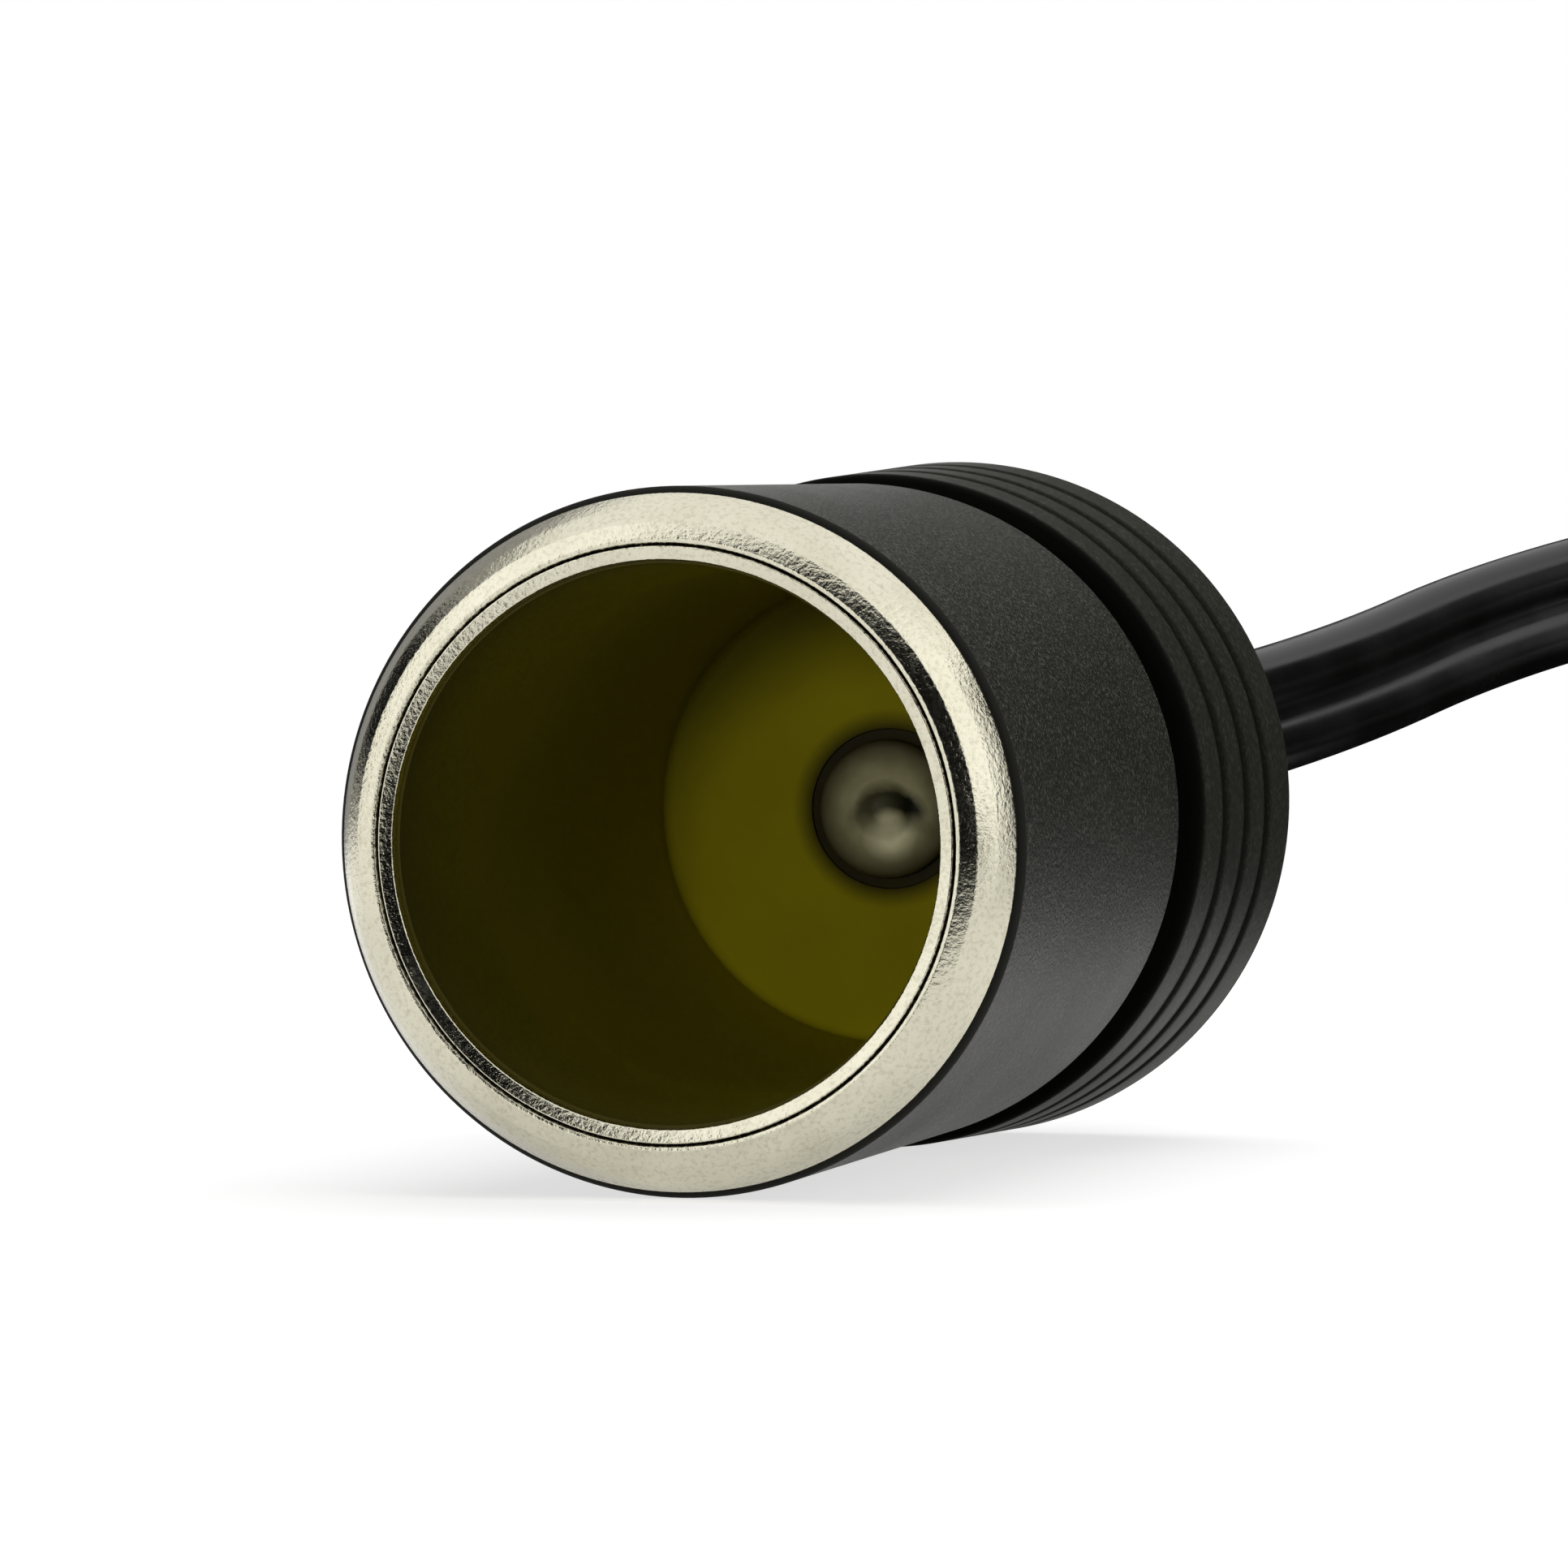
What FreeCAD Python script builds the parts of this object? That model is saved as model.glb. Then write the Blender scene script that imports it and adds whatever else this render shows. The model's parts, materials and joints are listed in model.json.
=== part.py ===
import FreeCAD, Part
import math
import os

# A 12 volt socket on a flat twin lead that ends in a 12 volt plug. All lengths are in millimetres, +Z is up.
# The socket lies on its side with its mouth towards -Y. Its pieces are drawn about the Y axis, with the
# mouth's lip at y = 0, and are then laid down together. The plug is drawn the same way, from its tip.

V = FreeCAD.Vector
ORIGIN = V(0, 0, 0)
X = V(1, 0, 0)
Y = V(0, 1, 0)
Z = V(0, 0, 1)

# Fits
press_gap = 0.03
sliding_gap = 0.1
moving_gap = 0.3

# Socket cup and its mouth ring
bore_d = 21.0
bore_depth = 36.4
sheet_t = 0.5
base_round = 0.5
base_taper = 0.05
lip_step = 0.1
lip_w = 0.5
lip_s = 0.06
lip_fall = 0.18
lip_round = 0.1
crease_w = 0.16
crease_depth = 0.12
crest_in = 0.26
bead_w = 0.74
bead_fall = 0.2
bead_round = 0.4
shoulder_in = 2.0
shoulder_s = 0.85
shoulder_round = 0.9
ring_d = 26.4
ring_h = 1.85
ring_edge_t = 0.2
ring_seat_s = 0.8
skirt_len = 3.0

# Housing and ribbed rear cap
barrel_front_d = 26.8
barrel_rear_d = 28.7
barrel_len = 27.6
barrel_edge_round = 0.35
groove_w = 3.15
neck_d = 26.0
neck_hold = 5.0
cap_front_d = 29.72
cap_rear_d = 32.0
cap_flank_len = 16.8
cap_rear_round = 3.0
cap_wall = 2.4
cap_cavity_d = 23.4
rib_grooves = 3
rib_pitch = 4.1
rib_groove_w = 0.8
rib_groove_depth = 0.32

# Centre contact stack
contact_d = 6.2
contact_proud = 1.4
contact_head_t = 1.5
contact_edge_round = 0.65
dimple_d = 2.6
dimple_depth = 0.55
base_hole_d = 7.2
shank_d = 3.0
bush_flange_d = 11.0
bush_flange_t = 1.0
washer_t = 1.2
tag_t = 0.6
tag_w = 3.0
tag_reach = 8.0
tag_tongue_len = 5.5
tail_d = 4.4
tail_t = 0.8
tail_round = 0.4
tag_eye_d = 5.9
earth_tag_t = 0.5
earth_tag_w = 4.0
earth_tag_reach = 10.2
earth_tag_foot = 4.0

# Lead
cord_w = 7.0
cord_t = 3.5
core_d = 1.5
inner_end_len = 10.8
rubber_round = 0.6
grommet_neck_d = 9.8
grommet_flange_d = 13.2
grommet_flange_t = 1.5
grommet_root_d = 11.4
grommet_tip_d = 9.6
grommet_nose_len = 4.6

# Plug
pin_d = 6.0
pin_proud = 6.0
pin_travel = 4.0
pin_tip_round = 1.5
pin_collar_d = 7.6
pin_collar_t = 1.5
nose_d = 15.6
nose_front_d = 12.4
nose_wall = 2.5
nose_len = 11.0
nose_flutes = 20
nose_flute_d = 1.4
nose_flute_depth = 0.35
nose_flute_land = 0.9
moulded_round = 0.75
spigot_d = 12.0
spigot_len = 6.0
barrel_d = 20.4
shoulder_d = 17.0
plug_cone_len = 3.0
plug_barrel_len = 16.5
flange_d = 22.4
flange_len = 3.0
grip_front_d = 19.6
grip_rear_d = 17.8
grip_len = 9.5
grip_grooves = 3
grip_groove_w = 1.2
grip_groove_depth = 0.5
grip_ring_len = 4.0
grip_ring_t = 1.1
grip_ring_round = 0.55
rear_wall_t = 2.0
fuse_d = 5.2
fuse_len = 20.0
fuse_cap_len = 5.0
fuse_cap_t = 0.2
fuse_glass_t = 0.8
fuse_link_d = 0.5
fuse_gap = 0.2
spring_len = 7.0
spring_wire_d = 0.6
spring_d = 5.0
spring_turns = 5
terminal_d = 7.6
terminal_t = 0.8
terminal_stud_d = 2.4
terminal_stud_len = 2.2
terminal_lip = 1.2
wire_room_d = 12.8
plug_lead_in = 5.4
side_strip_t = 0.6
side_strip_w = 5.5
side_strip_len = 14.0
side_strip_tab = 2.0
side_strip_start = 19.9
side_tab_out = 8.6
side_bow_out = 11.2
side_travel = 1.2
side_wall_in = 8.7
earth_clip_t = 0.5
earth_clip_w = 4.4
earth_clip_hole_d = 7.4
earth_clip_leg = 8.5
earth_clip_behind = 0.8
relief_neck_d = 9.0
relief_flange_d = 12.0
relief_flange_t = 1.0
relief_root_d = 11.2
relief_tip_d = 9.4
relief_nose_len = 8.0
plug_heading_deg = -35.0
plug_rear_x = 87.2
plug_rear_y = 16.3

# Coil of the spare lead
coil_centre_x = 71.0
coil_centre_y = 52.0
coil_mean_d = 60.0
coil_turns = 2.35
coil_pitch = 3.7
coil_round = 1.2
tie_t = 0.8
tie_w = 10.0
tie_at_deg = 215.0
bend_share = 0.45

# Free stretches of the lead between the socket, the coil and the plug
lead_start_run = 8.0
lead_route = [
    V(2.6, 45.3, 18.6),
    V(12.5, 60.6, 22.5),
    V(20.3, 70.4, 27.0),
    V(31.2, 80.6, 30.6),
    V(44.0, 85.8, 28.2),
    V(58.0, 84.6, 21.2),
    V(71.0, 80.0, 14.2),
    V(85.0, 75.6, 9.2),
    V(94.6, 65.4, 6.2),
    V(97.6, 52.0, 4.7),
    V(95.0, 40.8, 4.3),
]
tail_end_run = 10.0
tail_route = [
    V(102.2, 66.8, 4.3),
    V(105.5, 55.0, 5.6),
    V(104.4, 43.0, 8.4),
    V(99.4, 32.2, 11.4),
]


def rounded_edges(points, radii, closed=False):
    """Straight edges through the points, with a tangent arc of the given radius at each corner."""
    count = len(points)
    corners = range(count) if closed else range(1, count - 1)
    joins = {0: (points[0], points[0], None), count - 1: (points[-1], points[-1], None)}
    for i in corners:
        back = (points[i - 1] - points[i]).normalize()
        ahead = (points[(i + 1) % count] - points[i]).normalize()
        half = back.getAngle(ahead) / 2
        if radii[i] <= 0:
            joins[i] = (points[i], points[i], None)
            continue
        reach = radii[i] / math.tan(half)
        inward = (back + ahead).normalize()
        middle = points[i] + inward * (radii[i] / math.sin(half) - radii[i])
        joins[i] = (points[i] + back * reach, points[i] + ahead * reach, middle)
    edges = []
    for i in range(count):
        start, end, middle = joins[i]
        if middle is not None:
            edges.append(Part.Arc(start, middle, end).toShape())
        following = (i + 1) % count
        if (closed or following) and (joins[following][0] - end).Length > 1e-6:
            edges.append(Part.LineSegment(end, joins[following][0]).toShape())
    return edges


def outline(corners):
    """A flat face in XY from corners (x, y) or (x, y, radius)."""
    points = [V(c[0], c[1], 0) for c in corners]
    count = len(points)
    radii = []
    for i, corner in enumerate(corners):
        wanted = corner[2] if len(corner) > 2 else 0
        back = points[i - 1] - points[i]
        ahead = points[(i + 1) % count] - points[i]
        room = bend_share * min(back.Length, ahead.Length) * math.tan(back.getAngle(ahead) / 2)
        radii.append(min(wanted, room))
    return Part.Face(Part.Wire(rounded_edges(points, radii, closed=True)))


def turned(corners):
    """The solid that a half section (radius, y) turns about the Y axis."""
    return outline(corners).revolve(ORIGIN, Y, 360)


def rod(diameter, start, end, x=0, z=0):
    return Part.makeCylinder(diameter / 2, end - start, V(x, start, z), Y)


def block(x0, x1, y0, y1, half_height):
    """A box from its X and Y limits, centred on Z = 0."""
    return Part.makeBox(x1 - x0, y1 - y0, 2 * half_height, V(x0, y0, -half_height))


def flat_cord(start, end, gap=0):
    """A straight piece of the twin lead along Y, with its wide side upright."""
    half_t = cord_t / 2 + gap
    half_core = (cord_w - cord_t) / 2
    web = Part.makeBox(2 * half_t, end - start, 2 * half_core, V(-half_t, start, -half_core))
    cores = [Part.makeCylinder(half_t, end - start, V(0, start, side * half_core), Y) for side in (-1, 1)]
    return web.fuse(cores).removeSplitter()


def swept(points, diameter, name=None):
    """A round tube along straight runs joined by the largest tangent arcs that the runs leave room for."""
    radii = [0] * len(points)
    for i in range(1, len(points) - 1):
        back = points[i - 1] - points[i]
        ahead = points[i + 1] - points[i]
        radii[i] = bend_share * min(back.Length, ahead.Length) * math.tan(back.getAngle(ahead) / 2)
    path = Part.Wire(rounded_edges(points, radii))
    ring = Part.Wire(Part.makeCircle(diameter / 2, points[0], points[1] - points[0]))
    tube = path.makePipeShell([ring], True, False)
    if name:
        expected = math.pi * diameter ** 2 / 4 * path.Length
        bends = ", ".join(f"{r:.1f}" for r in radii[1:-1])
        print(f"{name}: length {path.Length:.1f}, bends {bends}, volume over section x length "
              f"{tube.Volume / expected:.4f}")
    return tube


def lying(front_r, front_y, rear_r, rear_y):
    """Tilts a turned piece so that it rests on two of its circles, the rear one being the larger."""
    tilt = math.atan2(rear_r - front_r, rear_y - front_y)
    height = front_r * math.cos(tilt) - front_y * math.sin(tilt)
    return FreeCAD.Placement(V(0, 0, height), FreeCAD.Rotation(X, math.degrees(tilt)))


# Stations along the socket
bore_r = bore_d / 2
cup_r = bore_r + sheet_t
lip_r = bore_r + lip_step
ring_r = ring_d / 2
face_s = ring_h + ring_edge_t
skirt_in = cup_r + press_gap
skirt_out = skirt_in + sheet_t
skirt_end = face_s + skirt_len
barrel_end = face_s + barrel_len
cap_start = barrel_end + groove_w
neck_end = cap_start + neck_hold
cap_widest = cap_start + cap_flank_len
cap_end = cap_widest + cap_rear_round
cap_wall_in = cap_end - cap_wall
base_back = bore_depth + sheet_t
head_front = bore_depth - contact_proud
head_back = head_front + contact_head_t
taper_start = head_front - sliding_gap
bush_back = base_back + bush_flange_t
washer_back = bush_back + washer_t
tag_back = washer_back + tag_t
tail_end = tag_back + tail_t
lead_exit = cap_end + grommet_nose_len
inner_end = lead_exit - inner_end_len


def mouth_ring():
    """The rolled ring: a lip sloping into the bore, a crease, a bead and a flange sloping outwards."""
    crease_r = lip_r + lip_w
    bead_r = crease_r + crease_w
    return turned([
        (lip_r, ring_seat_s),
        (lip_r, lip_s + lip_fall, lip_round),
        (crease_r, lip_s),
        (crease_r + crease_w / 2, lip_s + crease_depth),
        (bead_r, lip_s),
        (bead_r + crest_in, 0, bead_round),
        (bead_r + bead_w, bead_fall, bead_round),
        (lip_r + shoulder_in, shoulder_s, shoulder_round),
        (ring_r, ring_h, ring_edge_t),
        (ring_r, face_s),
        (skirt_out, face_s),
        (skirt_out, skirt_end),
        (skirt_in, skirt_end),
        (skirt_in, ring_seat_s),
    ])


def contact_cup():
    """The drawn cup, which narrows a little beside the contact's head."""
    base_r = bore_r - base_taper
    return turned([
        (bore_r, ring_seat_s),
        (bore_r, taper_start),
        (base_r, bore_depth, base_round),
        (base_hole_d / 2, bore_depth),
        (base_hole_d / 2, base_back),
        (base_r + sheet_t, base_back, base_round + sheet_t),
        (cup_r, taper_start),
        (cup_r, ring_seat_s),
    ])


def housing_sleeve():
    seat_r = skirt_out + press_gap
    seat_end = skirt_end + press_gap
    return turned([
        (seat_r, face_s),
        (barrel_front_d / 2, face_s, barrel_edge_round),
        (barrel_rear_d / 2, barrel_end, barrel_edge_round),
        (neck_d / 2, barrel_end, barrel_edge_round),
        (neck_d / 2, neck_end, barrel_edge_round),
        (cup_r + press_gap, neck_end),
        (cup_r + press_gap, seat_end),
        (seat_r, seat_end),
    ])


def rear_cap():
    front_r = cap_front_d / 2
    rear_r = cap_rear_d / 2
    socket_r = neck_d / 2 + press_gap
    step = neck_end + press_gap

    def flank_r(s):
        return front_r + (rear_r - front_r) * (s - cap_start) / cap_flank_len

    corners = [(socket_r, cap_start), (front_r, cap_start, barrel_edge_round)]
    for i in range(rib_grooves):
        at = cap_start + (i + 1) * rib_pitch
        corners += [
            (flank_r(at - rib_groove_w / 2), at - rib_groove_w / 2, rib_groove_depth),
            (flank_r(at) - rib_groove_depth, at),
            (flank_r(at + rib_groove_w / 2), at + rib_groove_w / 2, rib_groove_depth),
        ]
    hole_r = grommet_neck_d / 2 + press_gap
    corners += [
        (flank_r(cap_end), cap_end, cap_rear_round),
        (hole_r, cap_end),
        (hole_r, cap_wall_in),
        (cap_cavity_d / 2, cap_wall_in),
        (cap_cavity_d / 2, step),
        (socket_r, step),
    ]
    return turned(corners)


def centre_contact():
    """The rivet, with a round dish pressed into its head."""
    rivet = turned([
        (0, head_front),
        (contact_d / 2, head_front, contact_edge_round),
        (contact_d / 2, head_back),
        (shank_d / 2, head_back),
        (shank_d / 2, tag_back),
        (tail_d / 2, tag_back),
        (tail_d / 2, tail_end, tail_round),
        (0, tail_end),
    ])
    dish_r = (dimple_d ** 2 / 4 + dimple_depth ** 2) / (2 * dimple_depth)
    return rivet.cut(Part.makeSphere(dish_r, Y * (head_front + dimple_depth - dish_r)))


def contact_bush():
    hole_r = shank_d / 2 + press_gap
    body_r = base_hole_d / 2 - press_gap
    return turned([
        (hole_r, head_back),
        (body_r, head_back),
        (body_r, base_back),
        (bush_flange_d / 2, base_back),
        (bush_flange_d / 2, bush_back),
        (hole_r, bush_back),
    ])


def back_washer():
    ring = rod(bush_flange_d, bush_back, washer_back)
    return ring.cut(rod(shank_d + 2 * press_gap, bush_back, washer_back))


def angle_strip(foot, reach, front, thickness, tongue, width):
    """A flat strip from x = foot to x = reach, turned back along Y at its outer end."""
    face = outline([
        (foot, front),
        (reach, front, thickness),
        (reach, front + thickness + tongue),
        (reach - thickness, front + thickness + tongue),
        (reach - thickness, front + thickness, thickness / 2),
        (foot, front + thickness),
    ])
    return face.extrude(Z * width).translated(Z * (-width / 2))


def positive_tag():
    strip = angle_strip(0, tag_reach, washer_back, tag_t, tag_tongue_len, tag_w)
    eye = rod(tag_eye_d, washer_back, tag_back)
    return strip.fuse(eye).cut(rod(shank_d + 2 * press_gap, washer_back, tag_back)).removeSplitter()


def earth_tag():
    tongue = tag_back + tag_tongue_len - base_back - earth_tag_t
    foot = earth_tag_reach - earth_tag_foot
    strip = angle_strip(foot, earth_tag_reach, base_back, earth_tag_t, tongue, earth_tag_w)
    return strip.rotated(ORIGIN, Y, 180)


def core_wire(side, end_x, end_y, start_y):
    """One core from the lead's inner end to the side of a tag, where it is soldered."""
    height = side * (cord_w - cord_t) / 2
    lean = (start_y - end_y) / 4
    return swept([
        V(0, start_y, height),
        V(0, start_y - lean, height),
        V(end_x, end_y + lean, 0),
        V(end_x, end_y, 0),
    ], core_d)


def positive_core():
    solder_x = tag_reach - tag_t - core_d / 2 - press_gap
    return core_wire(1, solder_x, tag_back + tag_t, inner_end)


def negative_core():
    solder_x = earth_tag_reach - earth_tag_t - core_d / 2 - press_gap
    return core_wire(-1, -solder_x, tag_back + tag_t, inner_end)


def cord_grommet():
    flange_front = cap_wall_in - grommet_flange_t
    body = turned([
        (0, flange_front),
        (grommet_flange_d / 2, flange_front),
        (grommet_flange_d / 2, cap_wall_in),
        (grommet_neck_d / 2, cap_wall_in),
        (grommet_neck_d / 2, cap_end),
        (grommet_root_d / 2, cap_end),
        (grommet_tip_d / 2, lead_exit, rubber_round),
        (0, lead_exit),
    ])
    return body.cut(flat_cord(flange_front, lead_exit, press_gap))


def socket_inner_end():
    return flat_cord(inner_end, lead_exit)


socket = {
    "mouth_ring": mouth_ring(),
    "contact_cup": contact_cup(),
    "housing_sleeve": housing_sleeve(),
    "rear_cap": rear_cap(),
    "centre_contact": centre_contact(),
    "contact_bush": contact_bush(),
    "back_washer": back_washer(),
    "positive_tag": positive_tag(),
    "earth_tag": earth_tag(),
    "positive_core": positive_core(),
    "negative_core": negative_core(),
    "cord_grommet": cord_grommet(),
    "socket_inner_end": socket_inner_end(),
}

# Stations along the plug, from its tip
nose_front = pin_proud
collar_front = nose_front + nose_wall
fuse_front = collar_front + pin_collar_t
fuse_back = fuse_front + fuse_len
spring_back = fuse_back + spring_len
terminal_back = spring_back + terminal_t
nose_back = nose_front + nose_len
spigot_front = nose_back - spigot_len
cone_end = nose_back + plug_cone_len
plug_barrel_end = cone_end + plug_barrel_len
flange_end = plug_barrel_end + flange_len
grip_end = flange_end + grip_len
shell_end = grip_end + grip_ring_len
plug_exit = shell_end + relief_nose_len
wire_room_front = terminal_back + terminal_lip
wire_room_back = shell_end - rear_wall_t
relief_front = wire_room_back - relief_flange_t
collar_room_end = fuse_front + pin_travel + moving_gap
clip_front = side_strip_start + side_strip_len + earth_clip_behind
clip_back = clip_front + earth_clip_t
pocket_floor = side_tab_out - side_strip_t - side_travel - moving_gap - earth_clip_t
leg_out = pocket_floor + earth_clip_t
plug_inner_end = wire_room_back - plug_lead_in
plug_wire_z = (wire_room_d - core_d) / 2 - press_gap


def side_strip():
    """A bowed spring strip, held at both ends under the barrel's wall."""
    start = side_strip_start
    end = start + side_strip_len
    middle = (start + end) / 2

    def bow(inset):
        low = side_tab_out - inset
        return Part.Arc(
            V(low, start + side_strip_tab + inset / 2, 0),
            V(side_bow_out - inset, middle, 0),
            V(low, end - side_strip_tab - inset / 2, 0),
        ).toShape()

    outer = bow(0)
    inner = bow(side_strip_t)
    out = side_tab_out
    back = side_tab_out - side_strip_t
    outer_ends = [outer.Vertexes[0].Point, outer.Vertexes[-1].Point]
    inner_ends = [inner.Vertexes[0].Point, inner.Vertexes[-1].Point]
    line = [
        Part.LineSegment(V(out, start, 0), outer_ends[0]).toShape(),
        outer,
        Part.LineSegment(outer_ends[1], V(out, end, 0)).toShape(),
        Part.LineSegment(V(out, end, 0), V(back, end, 0)).toShape(),
        Part.LineSegment(V(back, end, 0), inner_ends[1]).toShape(),
        inner,
        Part.LineSegment(inner_ends[0], V(back, start, 0)).toShape(),
        Part.LineSegment(V(back, start, 0), V(out, start, 0)).toShape(),
    ]
    face = Part.Face(Part.Wire(line))
    return face.extrude(Z * side_strip_w).translated(Z * (-side_strip_w / 2))


def plug_hollows():
    """Everything that is cut out of the two shells."""
    half_w = side_strip_w / 2 + moving_gap
    start = side_strip_start - moving_gap
    end = side_strip_start + side_strip_len + moving_gap
    pocket = block(pocket_floor, side_wall_in, start, end, half_w)
    window_start = side_strip_start + side_strip_tab - moving_gap
    window_end = side_strip_start + side_strip_len - side_strip_tab + moving_gap
    window = block(side_wall_in - sliding_gap, flange_d / 2, window_start, window_end, half_w)
    leg_slot = block(pocket_floor, leg_out + press_gap, end - moving_gap, clip_back + press_gap,
                     earth_clip_w / 2 + press_gap)
    side = pocket.fuse([window, leg_slot])
    return [
        rod(pin_collar_d + 2 * sliding_gap, spigot_front, collar_room_end),
        rod(fuse_d + 2 * fuse_gap, collar_room_end, spring_back),
        rod(terminal_d + 2 * press_gap, spring_back - press_gap, terminal_back + press_gap),
        rod(terminal_stud_d + 2 * fuse_gap, terminal_back, wire_room_front),
        rod(wire_room_d, wire_room_front, wire_room_back),
        rod(relief_neck_d + 2 * press_gap, wire_room_back, shell_end),
        rod(2 * leg_out + 2 * press_gap, clip_front - press_gap, clip_back + press_gap),
        rod(core_d + 2 * sliding_gap, clip_back, wire_room_front, 0, -plug_wire_z),
        side,
        side.rotated(ORIGIN, Y, 180),
    ]


def plug_shells():
    """The barrel and grip, moulded in two halves that part on the plane through the side strips."""
    spigot_r = spigot_d / 2
    ring_seat_r = grip_rear_d / 2 - grip_ring_t
    corners = [
        (0, spigot_front),
        (spigot_r, spigot_front, sliding_gap),
        (spigot_r, nose_back),
        (shoulder_d / 2, nose_back, sliding_gap),
        (barrel_d / 2, cone_end, plug_cone_len),
        (barrel_d / 2, plug_barrel_end),
        (flange_d / 2, plug_barrel_end, moulded_round),
        (flange_d / 2, flange_end, moulded_round),
        (grip_front_d / 2, flange_end),
    ]
    pitch = grip_len / (grip_grooves + 1)
    for i in range(grip_grooves):
        at = flange_end + (i + 1) * pitch
        r = grip_front_d / 2 + (grip_rear_d - grip_front_d) / 2 * (at - flange_end) / grip_len
        corners += [
            (r, at - grip_groove_w / 2),
            (r - grip_groove_depth, at, grip_groove_w / 2),
            (r, at + grip_groove_w / 2),
        ]
    corners += [
        (grip_rear_d / 2, grip_end),
        (ring_seat_r, grip_end),
        (ring_seat_r, shell_end),
        (0, shell_end),
    ]
    body = turned(corners).cut(plug_hollows())
    room = flange_d
    upper = Part.makeBox(2 * room, shell_end + room, room, V(-room, 0, 0))
    lower = Part.makeBox(2 * room, shell_end + room, room, V(-room, 0, -room))
    return body.common(upper), body.common(lower)


def nose_cap():
    """The fluted screw cap that holds the two shells at the front and lets the tip pin through."""
    hole_r = pin_d / 2 + sliding_gap
    inner_r = spigot_d / 2 + press_gap
    cap = turned([
        (hole_r, nose_front),
        (nose_front_d / 2, nose_front, moulded_round),
        (nose_d / 2, collar_front, moulded_round),
        (nose_d / 2, nose_back),
        (inner_r, nose_back),
        (inner_r, collar_front),
        (hole_r, collar_front),
    ])
    flute_x = (nose_d + nose_flute_d) / 2 - nose_flute_depth
    flute = rod(nose_flute_d, collar_front + nose_flute_land, nose_back - nose_flute_land, flute_x)
    return cap.cut([flute.rotated(ORIGIN, Y, i * 360 / nose_flutes) for i in range(nose_flutes)])


def tip_pin():
    return turned([
        (0, 0),
        (pin_d / 2, 0, pin_tip_round),
        (pin_d / 2, collar_front),
        (pin_collar_d / 2, collar_front),
        (pin_collar_d / 2, fuse_front),
        (0, fuse_front),
    ])


def fuse_cap(end, inward):
    """A metal cup over one end of the fuse. It opens towards inward, which is 1 or -1 along Y."""
    glass_r = fuse_d / 2 - fuse_cap_t + press_gap
    return turned([
        (0, end),
        (fuse_d / 2, end, fuse_cap_t),
        (fuse_d / 2, end + inward * fuse_cap_len),
        (glass_r, end + inward * fuse_cap_len),
        (glass_r, end + inward * fuse_cap_t),
        (0, end + inward * fuse_cap_t),
    ])


def fuse_glass():
    glass_d = fuse_d - 2 * fuse_cap_t
    start = fuse_front + fuse_cap_t
    end = fuse_back - fuse_cap_t
    return rod(glass_d, start, end).cut(rod(glass_d - 2 * fuse_glass_t, start, end))


def fuse_spring():
    start = fuse_back + spring_wire_d / 2
    height = spring_len - spring_wire_d
    radius = (spring_d - spring_wire_d) / 2
    coil = Part.makeHelix(height / spring_turns, height, radius)
    wire = Part.Wire(Part.makeCircle(spring_wire_d / 2, V(radius, 0, 0), Y))
    spring = Part.Wire(coil).makePipeShell([wire], True, True)
    return spring.rotated(ORIGIN, X, -90).translated(V(0, start, 0))


def fuse_terminal():
    plate = rod(terminal_d, spring_back, terminal_back)
    stud = rod(terminal_stud_d, terminal_back, terminal_back + terminal_stud_len)
    return plate.fuse(stud).removeSplitter()


def earth_clip():
    """A ring round the spring, with a leg that lies under each side strip."""
    ring = rod(2 * leg_out, clip_front, clip_back).cut(rod(earth_clip_hole_d, clip_front, clip_back))
    leg = block(pocket_floor + press_gap, leg_out, clip_back - earth_clip_leg, clip_back, earth_clip_w / 2)
    return ring.fuse([leg, leg.rotated(ORIGIN, Y, 180)]).removeSplitter()


def plug_core(side, end_y, end_z, straight_to):
    """One core from the lead's end in the plug to what it is soldered to, straight for its last stretch."""
    height = side * (cord_w - cord_t) / 2
    lean = (plug_inner_end - straight_to) / 4
    return swept([
        V(0, plug_inner_end, height),
        V(0, plug_inner_end - lean, height),
        V(0, straight_to + lean, end_z),
        V(0, end_y, end_z),
    ], core_d)


def plug_negative_core():
    return plug_core(-1, clip_back + press_gap, -plug_wire_z, wire_room_front + core_d / 2)


def plug_positive_core():
    stud_end = terminal_back + terminal_stud_len
    return plug_core(1, stud_end, 0, stud_end)


def grip_ring():
    """The band that holds the two shells together at the rear."""
    inner_r = grip_rear_d / 2 - grip_ring_t + press_gap
    return turned([
        (inner_r, grip_end),
        (grip_rear_d / 2, grip_end),
        (grip_rear_d / 2, shell_end, grip_ring_round),
        (inner_r, shell_end),
    ])


def plug_relief():
    body = turned([
        (0, relief_front),
        (relief_flange_d / 2, relief_front),
        (relief_flange_d / 2, wire_room_back),
        (relief_neck_d / 2, wire_room_back),
        (relief_neck_d / 2, shell_end),
        (relief_root_d / 2, shell_end),
        (relief_tip_d / 2, plug_exit, rubber_round),
        (0, plug_exit),
    ])
    return body.cut(flat_cord(relief_front, plug_exit, press_gap))


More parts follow.
